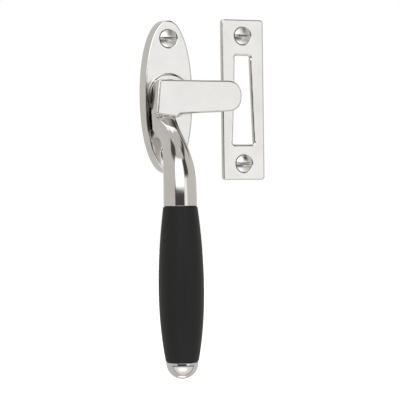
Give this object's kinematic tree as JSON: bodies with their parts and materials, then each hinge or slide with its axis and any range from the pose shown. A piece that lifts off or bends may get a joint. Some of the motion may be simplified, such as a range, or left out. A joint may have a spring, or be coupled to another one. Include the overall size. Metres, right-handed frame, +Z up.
{
  "type": "casement window fastener",
  "caption": "Casement fastener: an oval rose carries a turning lever with a tongue and a black barrel grip; a slotted strike plate takes the tongue.",
  "frame": {"origin": "on the lever's pivot axis, in the plane of the rose's back face, where the flat end of the pivot stud lies flush", "axes": "+X along the tongue, towards the strike plate; +Y into the sash; +Z up, away from the grip"},
  "size_m": [0.0543, 0.0526, 0.1396],
  "materials": {
    "rose_plate": "polished nickel plate over brass",
    "rose_bush": "plain bronze",
    "rose_screw_upper": "nickel plated",
    "rose_screw_lower": "nickel plated",
    "thrust_washer": "plain bronze",
    "wave_washer": "spring steel",
    "lever": "polished nickel plate over cast brass",
    "pivot_stud": "turned steel",
    "keyed_washer": "zinc plated",
    "pivot_nut": "zinc plated",
    "grip_rod": "threaded steel",
    "grip": "turned ebony, waxed",
    "end_cap": "polished nickel plate over brass",
    "strike_plate": "polished nickel plate over brass",
    "strike_screw_upper": "nickel plated",
    "strike_screw_lower": "nickel plated"
  },
  "bodies": {
    "rose": {"rose_plate": "rose_plate", "rose_bush": "rose_bush", "rose_screw_upper": "rose_screw_upper", "rose_screw_lower": "rose_screw_lower", "thrust_washer": "thrust_washer", "wave_washer": "wave_washer"},
    "lever": {"lever": "lever", "pivot_stud": "pivot_stud", "keyed_washer": "keyed_washer", "pivot_nut": "pivot_nut", "grip_rod": "grip_rod", "grip": "grip", "end_cap": "end_cap"},
    "strike": {"strike_plate": "strike_plate", "strike_screw_upper": "strike_screw_upper", "strike_screw_lower": "strike_screw_lower"}
  },
  "joints": [
    {"name": "lever_turn", "type": "hinge", "parent": "rose", "child": "lever", "pos_m": [0, 0, 0], "axis": [0, 1, 0], "range_deg": [0, 90]},
    {"name": "sash_opening", "type": "slide", "parent": "rose", "child": "strike", "axis": [1, 0, 0], "range_m": [0, 0.04]}
  ]
}
